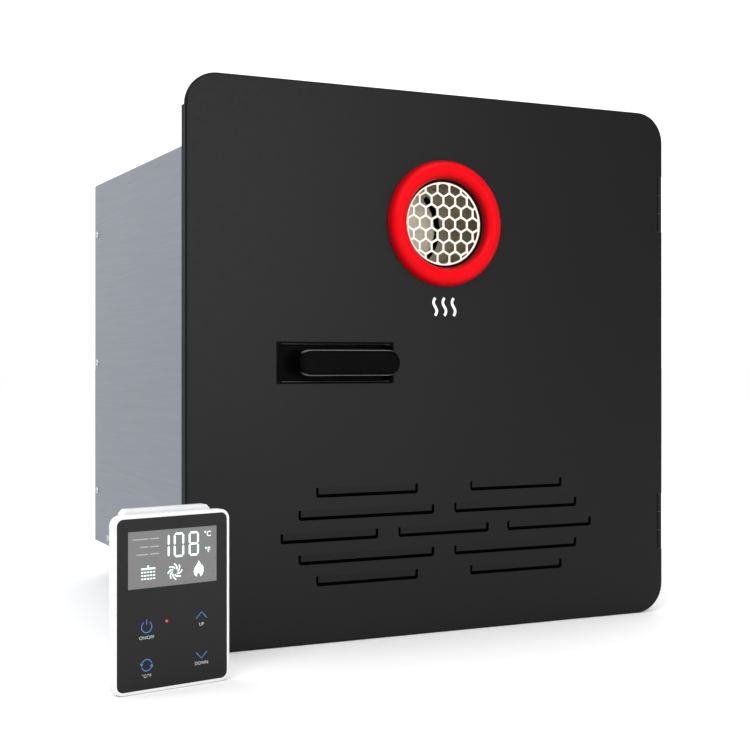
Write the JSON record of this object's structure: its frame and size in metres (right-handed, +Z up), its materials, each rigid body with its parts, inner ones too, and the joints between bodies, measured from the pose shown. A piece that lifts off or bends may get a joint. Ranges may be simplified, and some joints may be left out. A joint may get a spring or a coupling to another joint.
{
  "type": "tankless water heater",
  "caption": "Wall-mounted tankless gas water heater in a square sheet-metal case, with a hinged louvred door, sliding latch, exhaust ring and a stand-alone controller.",
  "frame": {"origin": "centre of the wall opening, in the plane of the wall skin that the flange gasket seats on", "axes": "+X right seen from the front, +Y into the wall, +Z up"},
  "size_m": [0.4527, 0.4767, 0.381],
  "materials": {
    "door_paint": "satin charcoal paint",
    "galvanised": "plain galvanised sheet",
    "screw_steel": "bright zinc",
    "black_steel": "black satin paint",
    "red_silicone": "satin red moulding",
    "guard_enamel": "cream enamel",
    "latch_plastic": "black satin plastic",
    "seal_rubber": "matt foam",
    "stainless": "heat-tinted stainless",
    "copper": "bare copper",
    "brass_fitting": "turned brass",
    "cast_alloy": "die cast",
    "pressed_alloy": "pressed burner sheet",
    "white_ceramic": "glazed ceramic",
    "dark_plastic": "moulded plastic",
    "grey_plastic": "moulded plastic",
    "board": "lacquered board",
    "rocker_red": "gloss plastic",
    "lever_blue": "dipped lever",
    "controller_white": "white gloss plastic",
    "controller_glass": "dark printed glass",
    "display": "grey liquid crystal"
  },
  "bodies": {
    "case": {"mounting_frame": "black_steel", "wall_gasket": "seal_rubber", "door_seal": "seal_rubber", "frame_hinge_leaves": "door_paint", "hinge_pins": "screw_steel", "hinge_rivets": "screw_steel", "case_wrap": "galvanised", "case_floor": "galvanised", "case_back": "galvanised", "case_screws": "screw_steel", "cable_grommet": "seal_rubber", "exhaust_duct": "stainless", "flue_baffle": "stainless", "flue_hood": "stainless", "limit_thermostats": "white_ceramic", "exchanger_shell": "copper", "exchanger_fins": "copper", "exchanger_tubes": "copper", "jacket_tube": "copper", "burner_tray": "galvanised", "burner_bars": "pressed_alloy", "gas_manifold": "cast_alloy", "spark_electrodes": "white_ceramic", "spark_module": "dark_plastic", "burner_stand": "galvanised", "fan_housing": "galvanised", "fan_motor": "dark_plastic", "gas_valve": "cast_alloy", "gas_solenoids": "dark_plastic", "gas_pipe": "copper", "gas_inlet": "brass_fitting", "cold_inlet": "brass_fitting", "hot_outlet": "brass_fitting", "flow_sensor": "dark_plastic", "cold_pipe": "copper", "hot_pipe": "copper", "drain_valve": "brass_fitting", "control_box": "grey_plastic", "control_cover": "grey_plastic", "control_board": "board", "power_switch": "dark_plastic"},
    "door": {"door_panel": "door_paint", "door_hinge_leaves": "door_paint", "exhaust_ring": "red_silicone", "exhaust_guard": "guard_enamel", "latch_dish": "latch_plastic", "bolt_guide": "screw_steel"},
    "latch": {"latch_slider": "latch_plastic", "latch_bolt": "screw_steel", "latch_screws": "screw_steel"},
    "fan": {"fan_wheel": "pressed_alloy"},
    "rotor": {"flow_rotor": "grey_plastic"},
    "drain": {"drain_lever": "lever_blue"},
    "rocker": {"power_rocker": "rocker_red"},
    "controller": {"controller_case": "controller_white", "controller_glass": "controller_glass", "controller_display": "display", "controller_board": "board", "controller_back": "controller_white"}
  },
  "joints": [
    {"name": "door_swing", "type": "hinge", "parent": "case", "child": "door", "pos_m": [0.1885, -0.0132, 0], "axis": [0, 0, 1], "range_deg": [0, 150]},
    {"name": "latch_slide", "type": "slide", "parent": "door", "child": "latch", "axis": [-1, 0, 0], "range_m": [0, 0.01]},
    {"name": "fan_spin", "type": "hinge", "parent": "case", "child": "fan", "pos_m": [0, 0.053, -0.0865], "axis": [0, 1, 0], "continuous": true},
    {"name": "flow_rotor_spin", "type": "hinge", "parent": "case", "child": "rotor", "pos_m": [-0.11, 0.3115, -0.115], "axis": [0, 1, 0], "continuous": true},
    {"name": "drain_turn", "type": "hinge", "parent": "case", "child": "drain", "pos_m": [-0.11, 0.047, -0.098], "axis": [0, 0, -1], "range_deg": [0, 90]},
    {"name": "power_rock", "type": "hinge", "parent": "case", "child": "rocker", "pos_m": [-0.143, 0.0615, -0.014], "axis": [-1, 0, 0], "range_deg": [0, 16]},
    {"name": "controller_lift", "type": "slide", "parent": "case", "child": "controller", "axis": [0, 0, 1], "range_m": [0, 0.15]}
  ]
}
